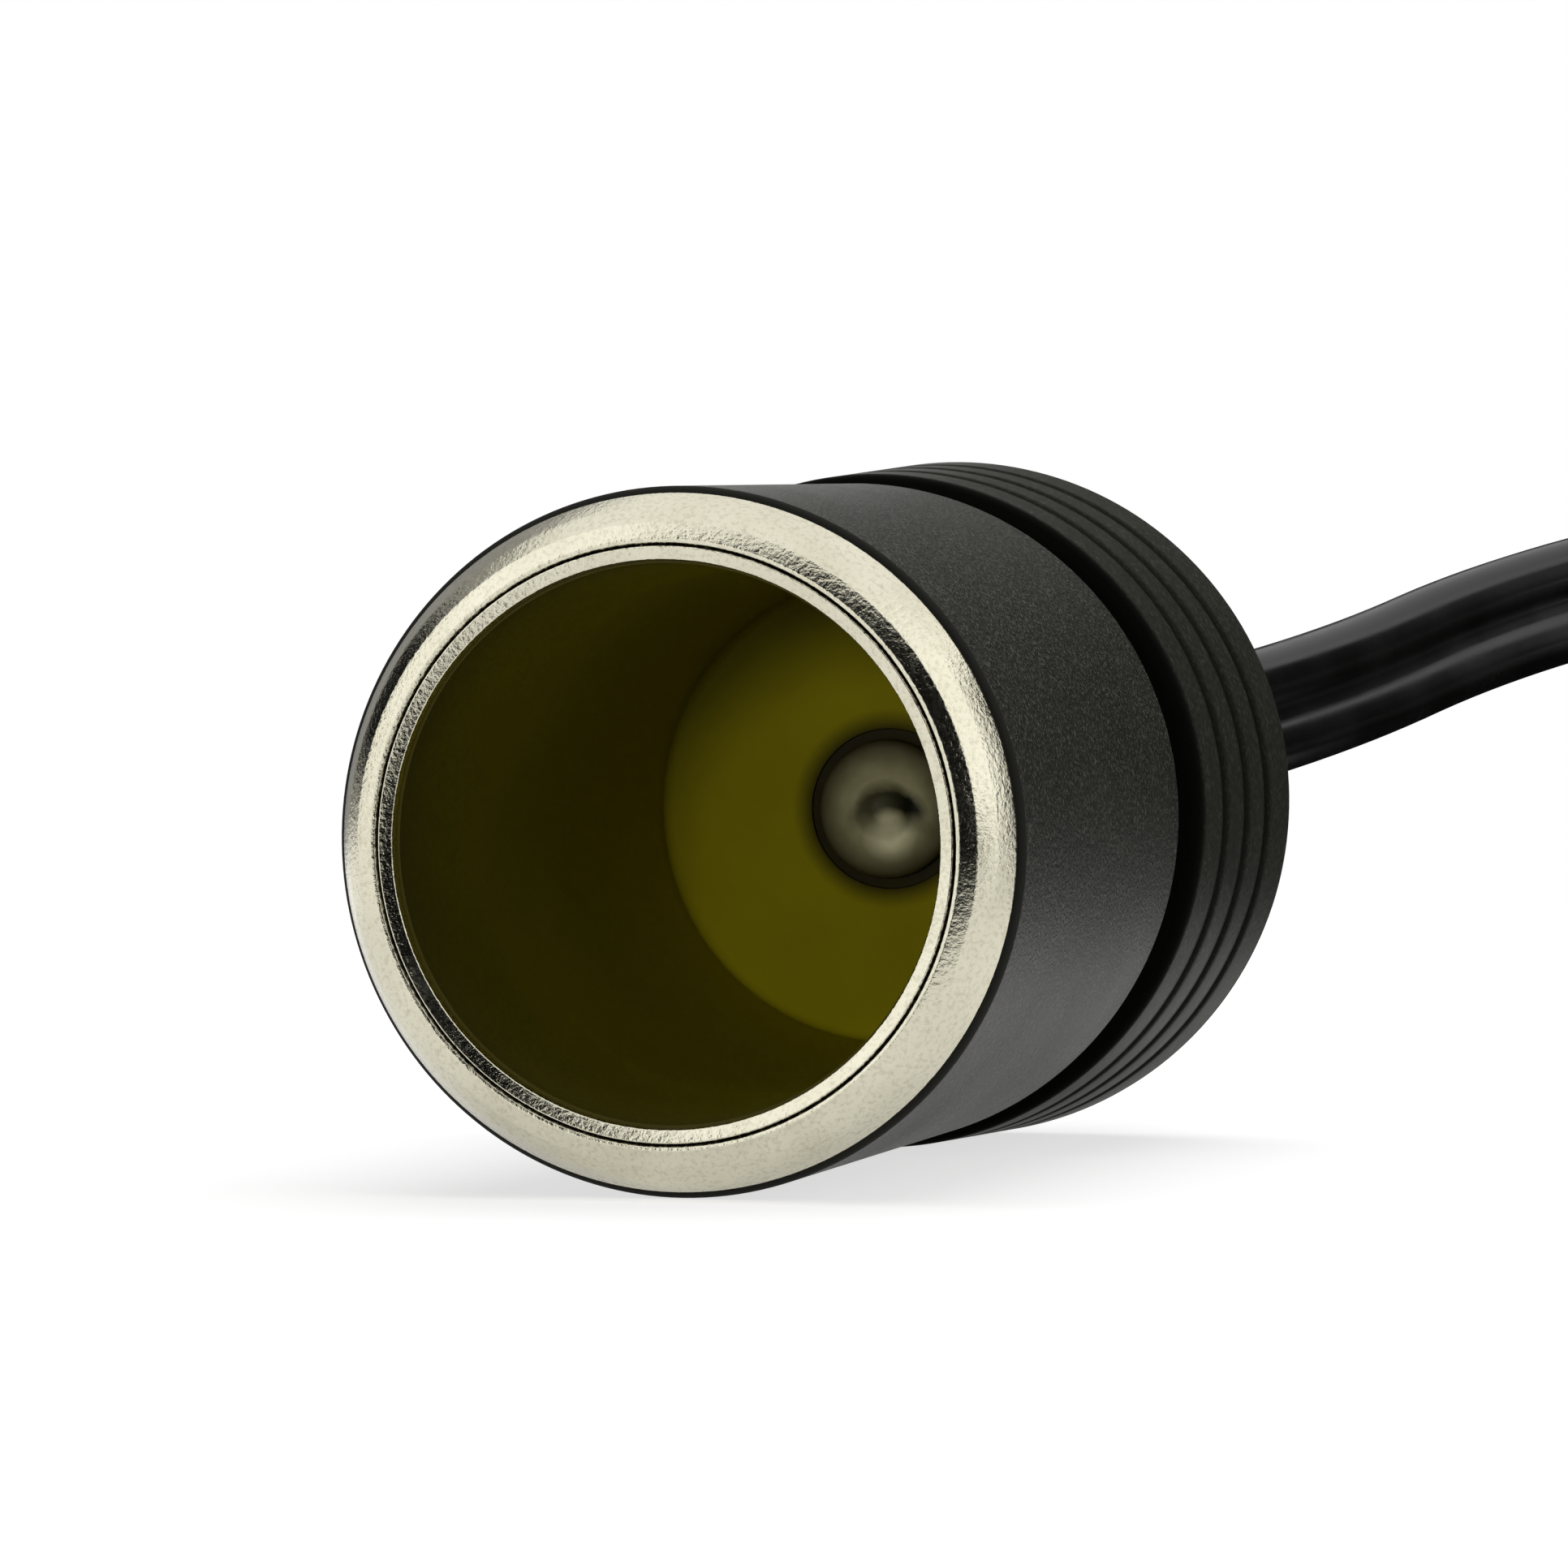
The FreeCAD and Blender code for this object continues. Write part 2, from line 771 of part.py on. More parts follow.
shell_upper, shell_lower = plug_shells()
plug = {
    "plug_shell_upper": shell_upper,
    "plug_shell_lower": shell_lower,
    "nose_cap": nose_cap(),
    "tip_pin": tip_pin(),
    "fuse_cap_front": fuse_cap(fuse_front, 1),
    "fuse_cap_rear": fuse_cap(fuse_back, -1),
    "fuse_glass": fuse_glass(),
    "fuse_link": rod(fuse_link_d, fuse_front + fuse_cap_t, fuse_back - fuse_cap_t),
    "fuse_spring": fuse_spring(),
    "fuse_terminal": fuse_terminal(),
    "side_strip_right": side_strip(),
    "side_strip_left": side_strip().rotated(ORIGIN, Y, 180),
    "earth_clip": earth_clip(),
    "plug_positive_core": plug_positive_core(),
    "plug_negative_core": plug_negative_core(),
    "grip_ring": grip_ring(),
    "plug_relief": plug_relief(),
    "plug_inner_cord": flat_cord(plug_inner_end, plug_exit),
}


def box_of(shapes, placement):
    placed = [shape.transformed(placement.toMatrix()) for shape in shapes.values()]
    return Part.makeCompound(placed).optimalBoundingBox(False)


# The socket lies on the front edge of its housing and on the widest circle of its cap
laid = lying(barrel_front_d / 2, face_s + barrel_edge_round, cap_rear_d / 2, cap_widest)
box = box_of(socket, laid)
laid.Base = laid.Base - V(box.Center.x, box.Center.y, box.ZMin)
parts = {name: shape.transformed(laid.toMatrix()) for name, shape in socket.items()}

# The plug lies on the front of its barrel and on its flange
plug_laid = lying(barrel_d / 2, cone_end, flange_d / 2, flange_end - moulded_round)
turn = FreeCAD.Placement(ORIGIN, FreeCAD.Rotation(Z, plug_heading_deg))
plug_laid = turn.multiply(plug_laid)
rear = plug_laid.multVec(Y * plug_exit)
plug_low = box_of(plug, plug_laid).ZMin
plug_laid.Base = plug_laid.Base + V(plug_rear_x - rear.x, plug_rear_y - rear.y, -plug_low)
parts.update({name: shape.transformed(plug_laid.toMatrix()) for name, shape in plug.items()})

# The lead leaves the grommet along the socket's axis and comes to the plug along the plug's axis
lead_points = [laid.multVec(Y * s) for s in (lead_exit, lead_exit + lead_start_run)] + lead_route
tail_points = tail_route + [plug_laid.multVec(Y * s) for s in (plug_exit + tail_end_run, plug_exit)]
parts["lead_cord"] = swept(lead_points, cord_w, "lead_cord")
parts["tail_cord"] = swept(tail_points, cord_w, "tail_cord")


def coil_section(grow):
    """The section of the coil's turns, or of what wraps them, as corners (radius, height)."""
    half = (coil_turns + 1) * coil_pitch / 2 + grow
    inner = coil_mean_d / 2 - half
    outer = coil_mean_d / 2 + half
    low = tie_t - grow
    high = tie_t + cord_w + grow
    corners = [(inner, low), (outer, low), (outer, high), (inner, high)]
    return [(r, height, coil_round) for r, height in corners]


def coil_sector(grow, angle):
    """The coil's section turned about the coil's upright axis."""
    face = outline(coil_section(grow)).rotated(ORIGIN, X, 90)
    return face.revolve(ORIGIN, Z, angle)


coil_centre = V(coil_centre_x, coil_centre_y, 0)
tie_angle = math.degrees(tie_w / (coil_mean_d / 2))
tie = coil_sector(tie_t, tie_angle).cut(coil_sector(press_gap, tie_angle))
parts["lead_coil"] = coil_sector(0, 360).translated(coil_centre)
parts["coil_tie"] = tie.rotated(ORIGIN, Z, tie_at_deg).translated(coil_centre)

os.makedirs("parts", exist_ok=True)
for name, shape in parts.items():
    solids = shape.Solids
    if not shape.isValid() or len(solids) != 1:
        print(f"{name}: valid {shape.isValid()}, {len(solids)} solids")
    solids[0].exportStep(f"parts/{name}.step")
print(f"{len(parts)} pieces, lead leaves the socket at {lead_points[0]}")
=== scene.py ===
import json
import math

import bpy
from mathutils import Matrix, Vector


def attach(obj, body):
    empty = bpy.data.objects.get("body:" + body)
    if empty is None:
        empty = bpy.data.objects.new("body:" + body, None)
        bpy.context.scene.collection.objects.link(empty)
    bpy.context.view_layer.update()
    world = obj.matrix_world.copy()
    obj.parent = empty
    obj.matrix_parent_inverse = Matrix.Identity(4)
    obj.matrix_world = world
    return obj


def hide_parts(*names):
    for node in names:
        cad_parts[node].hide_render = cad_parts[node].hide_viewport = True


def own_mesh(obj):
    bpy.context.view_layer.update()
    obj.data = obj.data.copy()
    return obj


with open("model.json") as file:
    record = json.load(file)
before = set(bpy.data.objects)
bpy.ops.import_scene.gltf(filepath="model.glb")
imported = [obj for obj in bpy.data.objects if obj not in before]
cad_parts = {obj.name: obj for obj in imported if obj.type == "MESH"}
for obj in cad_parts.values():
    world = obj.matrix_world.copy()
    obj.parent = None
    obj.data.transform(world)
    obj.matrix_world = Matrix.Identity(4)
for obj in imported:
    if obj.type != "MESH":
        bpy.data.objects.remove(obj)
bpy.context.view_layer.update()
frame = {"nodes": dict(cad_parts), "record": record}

# A 12 volt lighter socket on a flat twin lead with its plug, lying on a pale table. Everything is in metres.
MM = 0.001
FULL_TURN = 2 * math.pi
mounts = {mount["name"]: mount for mount in frame["record"]["mounts"]}

# Socket sizes along its axis from the lip, and radii
bore_r = 10.5 * MM
cup_r = 11.0 * MM
cup_depth = 36.4 * MM
cup_base_r = 10.45 * MM
taper_start = 34.9 * MM
cup_back = 36.9 * MM
sheet_t = 0.5 * MM
base_round = 0.5 * MM
base_hole_r = 3.6 * MM
ring_seat = 0.8 * MM
lip_r = 10.6 * MM
lip_low = 0.24 * MM
lip_edge_r = 11.1 * MM
lip_edge = 0.06 * MM
crease_r = 11.18 * MM
crease = 0.2 * MM
bead_edge_r = 11.26 * MM
bead_edge = 0.05 * MM
bead_top_r = 11.4 * MM
bead_top = 0.02 * MM
bead_r = 12.02 * MM
bead_low = 0.26 * MM
slope_r = 12.6 * MM
slope = 0.85 * MM
slope_round = 0.9 * MM
ring_r = 13.14 * MM
ring_edge = 1.85 * MM
face = 2.05 * MM
skirt_in = 11.03 * MM
skirt_out = 11.53 * MM
skirt_end = 5.05 * MM
head_front = 35.0 * MM
head_back = 36.5 * MM
head_r = 3.1 * MM
dish_r = 1.3 * MM
dish_depth = 0.55 * MM
dish_lip = 0.04 * MM
dish_round = 0.6 * MM
dome_r = 2.1 * MM
dome_drop = 0.12 * MM
dome_round = 1.5 * MM
head_drop = 0.62 * MM
head_round = 0.5 * MM
shank_r = 1.5 * MM
tail_front = 39.7 * MM
tail_end = 40.5 * MM
tail_r = 2.2 * MM
tail_round = 0.4 * MM
barrel_front_r = 13.4 * MM
barrel_rear_r = 14.35 * MM
barrel_end = 29.65 * MM
edge_round = 0.35 * MM
neck_r = 13.0 * MM
cap_start = 32.8 * MM
neck_end = 37.8 * MM
cap_front_r = 14.86 * MM
cap_rear_r = 16.0 * MM
cap_widest = 49.6 * MM
cap_end = 52.6 * MM
cap_inside = 50.2 * MM
cap_cavity_r = 11.7 * MM
cap_hole_r = 4.93 * MM
rib_grooves = 3
rib_pitch = 4.1 * MM
rib_groove_w = 1.1 * MM
rib_groove_depth = 0.36 * MM
rib_groove_round = 0.12 * MM
cap_hole_round = 0.2 * MM
press_gap = 0.03 * MM
grommet_flange_r = 6.6 * MM
grommet_flange_t = 1.5 * MM
grommet_root_r = 5.7 * MM
grommet_tip_r = 4.8 * MM
lead_exit = 57.2 * MM

# Plug sizes along its axis from the tip, and radii
plug_middle = 28.25 * MM
shell_end = 53.0 * MM
wire_room_back = 51.0 * MM
boot_flange_t = 1.0 * MM
boot_flange_r = 6.0 * MM
boot_neck_r = 4.5 * MM
boot_root_r = 5.6 * MM
boot_tip_r = 4.7 * MM
plug_exit = 61.0 * MM
rubber_round = 0.6 * MM
boot_root_round = 0.25 * MM
boot_groove_w = 0.8 * MM
boot_groove_depth = 0.45 * MM
boot_groove_round = 0.15 * MM

# Lead
cord_w = 7.0 * MM
core_r = 1.75 * MM
waist = 1.2 * MM
core_sides = 16
waist_sides = 6
coil_centre = Vector((71.0, 52.0, 4.3)) * MM
coil_inner_r = 25.65 * MM
coil_pitch = 3.7 * MM
coil_start = math.radians(90)
coil_from = math.radians(-50)
coil_to = math.radians(-670)
coil_points = 26
lead_route = [
    (2.6, 45.3, 18.6), (12.5, 60.6, 22.5), (20.3, 70.4, 27.0), (31.2, 80.6, 30.6), (44.0, 85.8, 28.2),
    (58.0, 84.6, 21.2), (71.0, 80.0, 14.2), (85.0, 75.6, 9.2), (94.6, 65.4, 6.2), (97.6, 52.0, 4.7),
    (95.0, 40.8, 4.3),
]
tail_route = [(102.2, 66.8, 4.3), (105.5, 55.0, 5.6), (104.4, 43.0, 8.4), (99.4, 32.2, 11.4)]
lead_start_run = 8.0 * MM
tail_end_run = 10.0 * MM

# Strap round the coil, as a band that overlaps itself
strap_t = 0.6 * MM
strap_inner_r = 24.9 * MM
strap_outer_r = 34.3 * MM
strap_low = 0.4 * MM
strap_high = 8.2 * MM
strap_round = 3.0 * MM
strap_lap = 0.65 * MM
strap_inner_gap = 0.3 * MM
strap_tail = 2.6 * MM
strap_w = 10.0 * MM
strap_at = math.radians(224.5)


def stand(mount, ahead):
    """A matrix with Z along a mount's axis into the object, X level, and its origin ahead of the mount."""
    out = Vector(mounts[mount]["axis"])
    inward = -out
    level = Vector((inward.y, -inward.x, 0)).normalized()
    matrix = Matrix((level, inward.cross(level), inward)).transposed().to_4x4()
    matrix.translation = Vector(mounts[mount]["pos_m"]) + out * ahead
    return matrix


def along(matrix, station):
    return matrix @ Vector((0, 0, station))


socket_stand = stand("socket_bore", mounts["socket_bore"]["dims"]["length_mm"] * MM / 2 + ring_seat)
plug_stand = stand("plug_barrel", plug_middle)
strap_stand = Matrix.Translation((coil_centre.x, coil_centre.y, 0)) @ Matrix.Rotation(strap_at, 4, "Z")


def deselect():
    bpy.ops.object.select_all(action="DESELECT")


def pick(piece, test):
    """Leaves only the vertices that pass a test selected, in edit mode."""
    bpy.ops.object.mode_set(mode="EDIT")
    bpy.ops.mesh.select_mode(type="VERT")
    bpy.ops.mesh.select_all(action="DESELECT")
    bpy.ops.object.mode_set(mode="OBJECT")
    for vertex in piece.data.vertices:
        vertex.select = test(vertex.co)
    bpy.ops.object.mode_set(mode="EDIT")


def drawn(name, corners, closed):
    """A line of edges in XZ through corners (radius, station), rounded where a corner has a third number."""
    deselect()
    bpy.ops.mesh.primitive_plane_add(size=MM)
    piece = bpy.context.object
    piece.name = name
    piece.data.name = name
    points = [Vector((corner[0], 0, corner[1])) for corner in corners]
    bpy.ops.object.mode_set(mode="EDIT")
    bpy.ops.mesh.select_mode(type="VERT")
    bpy.ops.mesh.select_all(action="SELECT")
    bpy.ops.mesh.merge(type="CENTER")
    bpy.ops.transform.translate(value=points[0])
    for before, point in zip(points, points[1:]):
        bpy.ops.mesh.extrude_vertices_move(TRANSFORM_OT_translate={"value": point - before})
    near = 0.002 * MM
    facet = math.radians(9)
    side_share = 0.48
    if closed:
        pick(piece, lambda co: min((co - points[0]).length, (co - points[-1]).length) < near)
        bpy.ops.mesh.edge_face_add()
    for i, corner in enumerate(corners):
        if len(corner) > 2:
            back = points[i - 1] - points[i]
            ahead = points[(i + 1) % len(points)] - points[i]
            turn = math.pi - back.angle(ahead)
            room = side_share * min(back.length, ahead.length)
            pick(piece, lambda co: (co - points[i]).length < near)
            bpy.ops.mesh.bevel(offset=min(corner[2] * math.tan(turn / 2), room), affect="VERTICES",
                               segments=max(2, round(turn / facet)))
    return piece


def placed(piece, matrix, smooth_deg=40):
    """Puts a finished piece where it belongs, with its place in its mesh."""
    bpy.ops.object.mode_set(mode="OBJECT")
    deselect()
    piece.select_set(True)
    bpy.context.view_layer.objects.active = piece
    piece.matrix_world = matrix
    bpy.ops.object.transform_apply(location=True, rotation=True, scale=True)
    bpy.ops.object.shade_smooth_by_angle(angle=math.radians(smooth_deg))
    return piece


def turned(name, corners, matrix, steps=160):
    """A piece spun from its half section. A section whose ends lie off the axis is closed first."""
    piece = drawn(name, corners, closed=corners[0][0] > 0 and corners[-1][0] > 0)
    bpy.ops.mesh.select_all(action="SELECT")
    bpy.ops.mesh.spin(steps=steps, angle=FULL_TURN, center=(0, 0, 0), axis=(0, 0, 1))
    bpy.ops.mesh.select_all(action="SELECT")
    bpy.ops.mesh.remove_doubles(threshold=0.001 * MM)
    bpy.ops.mesh.normals_make_consistent(inside=False)
    return placed(piece, matrix)


def stands_for(piece, node, finish, body="socket"):
    """The piece takes a node's place, on its body and with its material slot."""
    piece.data.materials.clear()
    piece.data.materials.append(finish)
    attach(piece, body)
    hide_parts(node)
    return piece


class Value:
    """An output of a shader node. Each operator on it adds a Math node."""

    def __init__(self, finish, socket):
        self.finish = finish
        self.socket = socket

    def maths(self, operation, first, second):
        return self.finish.node("ShaderNodeMath", {"operation": operation}, {0: first, 1: second})

    def __add__(self, other):
        return self.maths("ADD", self, other)

    def __sub__(self, other):
        return self.maths("SUBTRACT", self, other)

    def __rsub__(self, other):
        return self.maths("SUBTRACT", other, self)

    def __mul__(self, other):
        return self.maths("MULTIPLY", self, other)


class Finish:
    """A material under construction: a Principled shader with constants, and nodes that feed it."""

    def __init__(self, name, **constants):
        self.material = bpy.data.materials.new(name)
        self.material.use_nodes = True
        self.tree = self.material.node_tree
        self.shader = self.tree.nodes["Principled BSDF"]
        for socket, value in constants.items():
            self.shader.inputs[socket.replace("_", " ")].default_value = value

    def node(self, kind, settings=None, sockets=None, output=0):
        made = self.tree.nodes.new(kind)
        for key, value in (settings or {}).items():
            setattr(made, key, value)
        for key, value in (sockets or {}).items():
            if isinstance(value, Value):
                self.tree.links.new(value.socket, made.inputs[key])
            else:
                made.inputs[key].default_value = value
        return Value(self, made.outputs[output])

    def feed(self, **sockets):
        for socket, value in sockets.items():
            self.tree.links.new(value.socket, self.shader.inputs[socket.replace("_", " ")])

    def place(self):
        return self.node("ShaderNodeTexCoord", output="Object")

    def about(self, matrix):
        """Object coordinates seen from a stand: Z along its axis."""
        turn = matrix.to_euler()
        return self.node("ShaderNodeMapping", {"vector_type": "TEXTURE"},
                         {"Vector": self.place(), "Location": matrix.translation, "Rotation": turn})

    def noise(self, scale, detail, roughness=0.5):
        return self.node("ShaderNodeTexNoise", None,
                         {"Vector": self.place(), "Scale": scale, "Detail": detail, "Roughness": roughness})

    def depth(self, matrix):
        """How far a point lies along a stand's axis."""
        return self.node("ShaderNodeSeparateXYZ", None, {0: self.about(matrix)}, output="Z")

    def radius(self, matrix):
        """How far a point lies from a stand's axis."""
        flat = self.node("ShaderNodeVectorMath", {"operation": "MULTIPLY"},
                         {0: self.about(matrix), 1: (1, 1, 0)})
        return self.node("ShaderNodeVectorMath", {"operation": "LENGTH"}, {0: flat}, output="Value")

    def near(self, value, middle, half_width, soft):
        """1 within half a width of a middle, fading to 0 over a soft edge."""
        off = self.node("ShaderNodeMath", {"operation": "ABSOLUTE"}, {0: value - middle})
        return self.spread(off, half_width, half_width + soft, 1.0, 0.0)

    def spread(self, value, low, high, to_low=0.0, to_high=1.0):
        """Maps low..high to to_low..to_high, held at both ends."""
        return self.node("ShaderNodeMapRange", None, {
            "Value": value, "From Min": low, "From Max": high, "To Min": to_low, "To Max": to_high,
        })

    def blend(self, share, first, second):
        """A colour between two."""
        return self.node("ShaderNodeMix", {"data_type": "RGBA"}, {0: share, 6: first, 7: second}, output=2)

    def bump(self, height, distance, strength=1.0):
        return self.node("ShaderNodeBump", None,
                         {"Height": height, "Distance": distance, "Strength": strength})


def rgb(red, green, blue):
    return (red, green, blue, 1.0)


warm_shine = rgb(1, 0.98, 0.84)


def satin_nickel():
    """Warm satin nickel with a fine grain, and an uneven line of painted shade in the crease."""
    f = Finish("mouth nickel", Metallic=1.0)
    grain = f.noise(5200, 3.0, 0.6)
    cloud = f.noise(420, 3.0)
    slow_wobble, fast_wobble = 0.08 * MM, 0.14 * MM
    wobble = f.noise(1500, 2.0) * slow_wobble + f.noise(6000, 1.0) * fast_wobble
    across = f.radius(socket_stand) + wobble - (slow_wobble + fast_wobble) / 2
    shade_half_w, shade_fade = 0.02 * MM, 0.06 * MM
    # Painted shade: an uneven dark line along the crease.
    crease_shade = f.near(across, crease_r, shade_half_w, shade_fade)
    plate = f.blend(f.spread(cloud, 0.35, 0.7), rgb(0.72, 0.69, 0.54), rgb(0.79, 0.76, 0.61))
    speckled = f.blend(f.spread(grain, 0.30, 0.52, 0.35, 0.0), plate, rgb(0.34, 0.30, 0.20))
    f.feed(
        Base_Color=f.blend(crease_shade, speckled, rgb(0.03, 0.027, 0.02)),
        Roughness=f.spread(grain * 0.5 + cloud * 0.5, 0.35, 0.65, 0.11, 0.20),
        Normal=f.bump(grain, 0.028 * MM),
    )
    return f.material


def olive_plate():
    """Yellow passivated steel, with painted shade near the mouth and round the hole in the base, and painted
    light on the wall deep in the bore.
    """
    f = Finish("cup olive", Metallic=0.0, Specular_IOR_Level=0.2)
    cloud = f.noise(160, 4.0)
    grain = f.noise(3800, 2.0)
    depth = f.depth(socket_stand)
    mouth_shade_to, bright_from, hole_shade_reach = 12 * MM, 30 * MM, 0.9 * MM
    # Painted shade: the wall darker towards the mouth.
    mouth_shade = f.spread(depth, ring_seat, mouth_shade_to, 0.85, 0.0)
    # Painted light: the wall lighter deep in the bore, fading again at the base.
    deep_light = f.spread(depth, mouth_shade_to, bright_from) * f.spread(depth, taper_start, cup_depth, 1.0, 0.0)
    # Painted shade: a dark ring round the hole in the base.
    hole_shade = f.spread(f.radius(socket_stand), base_hole_r, base_hole_r + hole_shade_reach, 0.9, 0.0)
    plate = f.blend(f.spread(cloud, 0.3, 0.7), rgb(0.225, 0.19, 0.003), rgb(0.28, 0.24, 0.004))
    lit_plate = f.blend(deep_light, plate, rgb(0.34, 0.29, 0.004))
    f.feed(
        Base_Color=f.blend(mouth_shade + hole_shade, lit_plate, rgb(0.018, 0.014, 0.003)),
        Roughness=f.spread(grain, 0.3, 0.7, 0.50, 0.62),
        Normal=f.bump(grain, 0.012 * MM, 0.6),
    )
    return f.material


def rivet_nickel():
    """Dull nickel with painted shade at its rim, a painted highlight in the dish, and an arch of painted
    shade above it.
    """
    f = Finish("contact nickel", Metallic=0.35)
    cloud = f.noise(900, 4.0)
    grain = f.noise(3800, 2.0)
    ragged = 0.5 * MM
    uneven = cloud * ragged - ragged / 2
    arch_stand = socket_stand @ Matrix.Translation((0.25 * MM, 0.75 * MM, 0))
    arch_r, arch_half_w, arch_fade = 1.2 * MM, 0.3 * MM, 0.5 * MM
    spot_stand = socket_stand @ Matrix.Translation((0.3 * MM, 1.2 * MM, 0))
    spot_r, spot_end = 0.4 * MM, 1.3 * MM
    rim_from = 1.9 * MM
    across = f.node("ShaderNodeSeparateXYZ", None, {0: f.about(arch_stand)}, output="X")
    down = f.node("ShaderNodeSeparateXYZ", None, {0: f.about(arch_stand)}, output="Y")
    # Painted shade: a dark arch over the upper side of the dish.
    upper = f.spread(down + uneven, -0.7 * MM, 0.3 * MM, 1.0, 0.0)
    rightward = f.spread(across, -1.5 * MM, 0.8 * MM, 0.65, 1.0)
    dish_shade = f.near(f.radius(arch_stand) + uneven, arch_r, arch_half_w, arch_fade) * (upper * rightward)
    # Painted shade: the head darker towards its rim.
    rim_shade = f.spread(f.radius(socket_stand), rim_from, head_r, 0.0, 0.95)
    plate = f.blend(f.spread(cloud, 0.3, 0.7), rgb(0.36, 0.33, 0.17), rgb(0.46, 0.43, 0.24))
    # Painted highlight: a bright spot in the dish, below the arch.
    dish_highlight = f.spread(f.radius(spot_stand) + uneven, spot_r, spot_end, 1.0, 0.0)
    highlit_plate = f.blend(dish_highlight, plate, rgb(0.95, 0.90, 0.58))
    rim_shaded_plate = f.blend(rim_shade, highlit_plate, rgb(0.025, 0.020, 0.006))
    f.feed(
        Base_Color=f.blend(dish_shade, rim_shaded_plate, rgb(0.010, 0.011, 0.006)),
        Roughness=f.spread(cloud, 0.3, 0.7, 0.40, 0.55),
        Normal=f.bump(grain, 0.015 * MM, 0.7),
    )
    return f.material


def eroded_black(name, tone, speck, roughness, grain_scale, depth, shine):
    """Moulded plastic or rubber with the fine grain of a spark-eroded mould, lighter on its high points."""
    f = Finish(name, Metallic=0.0, Specular_IOR_Level=shine)
    grain = f.noise(grain_scale, 2.0, 0.6)
    cloud = f.noise(130, 3.0)
    peaks = f.spread(grain, 0.5, 0.72)
    f.feed(
        Base_Color=f.blend(peaks, tone, speck),
        Roughness=f.spread(cloud, 0.3, 0.7, roughness - 0.04, roughness + 0.04),
        Normal=f.bump(grain, depth),
    )
    return f.material


def grained_black():
    """The barrel's plastic: a sharp grain on its flank, and painted shade, near black, on its face and neck.
    """
    f = Finish("housing black", Metallic=0.0, Specular_IOR_Level=0.3, Specular_Tint=warm_shine)
    grain = f.noise(6000, 3.0, 0.65)
    cloud = f.noise(130, 3.0)
    painted_shade_w, grain_fade = 0.35 * MM, 0.1 * MM
    middle, half_length = (face + barrel_end) / 2, (barrel_end - face) / 2
    # Painted shade: the face behind the ring and the neck in the groove are near black.
    flank = f.near(f.depth(socket_stand), middle, half_length - painted_shade_w, grain_fade)
    plastic = f.blend(f.spread(grain, 0.52, 0.70), rgb(0.011, 0.0115, 0.009), rgb(0.130, 0.133, 0.104))
    f.feed(
        Base_Color=f.blend(flank, rgb(0.002, 0.002, 0.0017), plastic),
        Roughness=f.spread(cloud, 0.3, 0.7, 0.38, 0.46) + (1 - flank) * 0.35,
        Normal=f.bump(grain * flank, 0.11 * MM),
    )
    return f.material


def grooved_black():
    """The rear cap's plastic, with painted shade in the grooves between its ribs and on its front face."""
    f = Finish("cap black", Metallic=0.0, Specular_IOR_Level=0.06, Specular_Tint=warm_shine)
    grain = f.noise(4200, 3.0, 0.6)
    cloud = f.noise(130, 3.0)
    station = f.depth(socket_stand)
    dark_core, dark_reach, ribs_fade = 0.2 * MM, 1.1 * MM, 0.1 * MM
    edge_core, edge_reach = 0.1 * MM, 0.5 * MM
    first, last = cap_start + rib_pitch, cap_start + rib_grooves * rib_pitch
    ribbed = f.near(station, (first + last) / 2, (last - first) / 2 + dark_reach, ribs_fade)
    to_groove = f.node("ShaderNodeMath", {"operation": "PINGPONG"},
                       {0: station - cap_start, 1: rib_pitch / 2})
    front = f.spread(station, cap_start + edge_core, cap_start + edge_reach, 1.0, 0.0)
    # Painted shade: darker into each groove between the ribs, and on the front face.
    shade = ribbed * f.spread(to_groove, dark_core, dark_reach, 1.0, 0.0) + front
    plastic = f.blend(f.spread(grain, 0.5, 0.7), rgb(0.022, 0.0227, 0.018), rgb(0.062, 0.063, 0.050))
    f.feed(
        Base_Color=f.blend(shade, plastic, rgb(0.003, 0.003, 0.0025)),
        Roughness=f.spread(cloud, 0.3, 0.7, 0.42, 0.50) + shade * 0.35,
        Normal=f.bump(grain, 0.03 * MM),
    )
    return f.material


def smooth_black(name, tone, roughness):
    """Extruded insulation, smooth with a faint ripple."""
    f = Finish(name, Metallic=0.0, Specular_IOR_Level=0.6)
    cloud = f.noise(260, 3.0)
    ripple = f.noise(900, 2.0)
    f.feed(
        Base_Color=f.blend(f.spread(cloud, 0.35, 0.65), rgb(*tone), rgb(*[c * 1.35 for c in tone])),
        Roughness=f.spread(cloud, 0.3, 0.7, roughness - 0.03, roughness + 0.05),
        Normal=f.bump(ripple, 0.02 * MM, 0.3),
    )
    return f.material


def plain_metal(name, low, high, roughness):
    """Stamped or drawn metal with a faint cloud and a fine grain."""
    f = Finish(name, Metallic=1.0)
    cloud = f.noise(500, 3.0)
    grain = f.noise(4200, 2.0)
    f.feed(
        Base_Color=f.blend(f.spread(cloud, 0.35, 0.65), rgb(*low), rgb(*high)),
        Roughness=f.spread(cloud, 0.3, 0.7, roughness - 0.05, roughness + 0.06),
        Normal=f.bump(grain, 0.008 * MM, 0.5),
    )
    return f.material


def plain_plastic(name, low, high, roughness):
    """Moulded plastic or pressed card with a faint cloud."""
    f = Finish(name, Metallic=0.0)
    cloud = f.noise(700, 3.0)
    f.feed(
        Base_Color=f.blend(f.spread(cloud, 0.35, 0.65), rgb(*low), rgb(*high)),
        Roughness=f.spread(cloud, 0.3, 0.7, roughness - 0.05, roughness + 0.05),
        Normal=f.bump(cloud, 0.02 * MM, 0.4),
    )
    return f.material


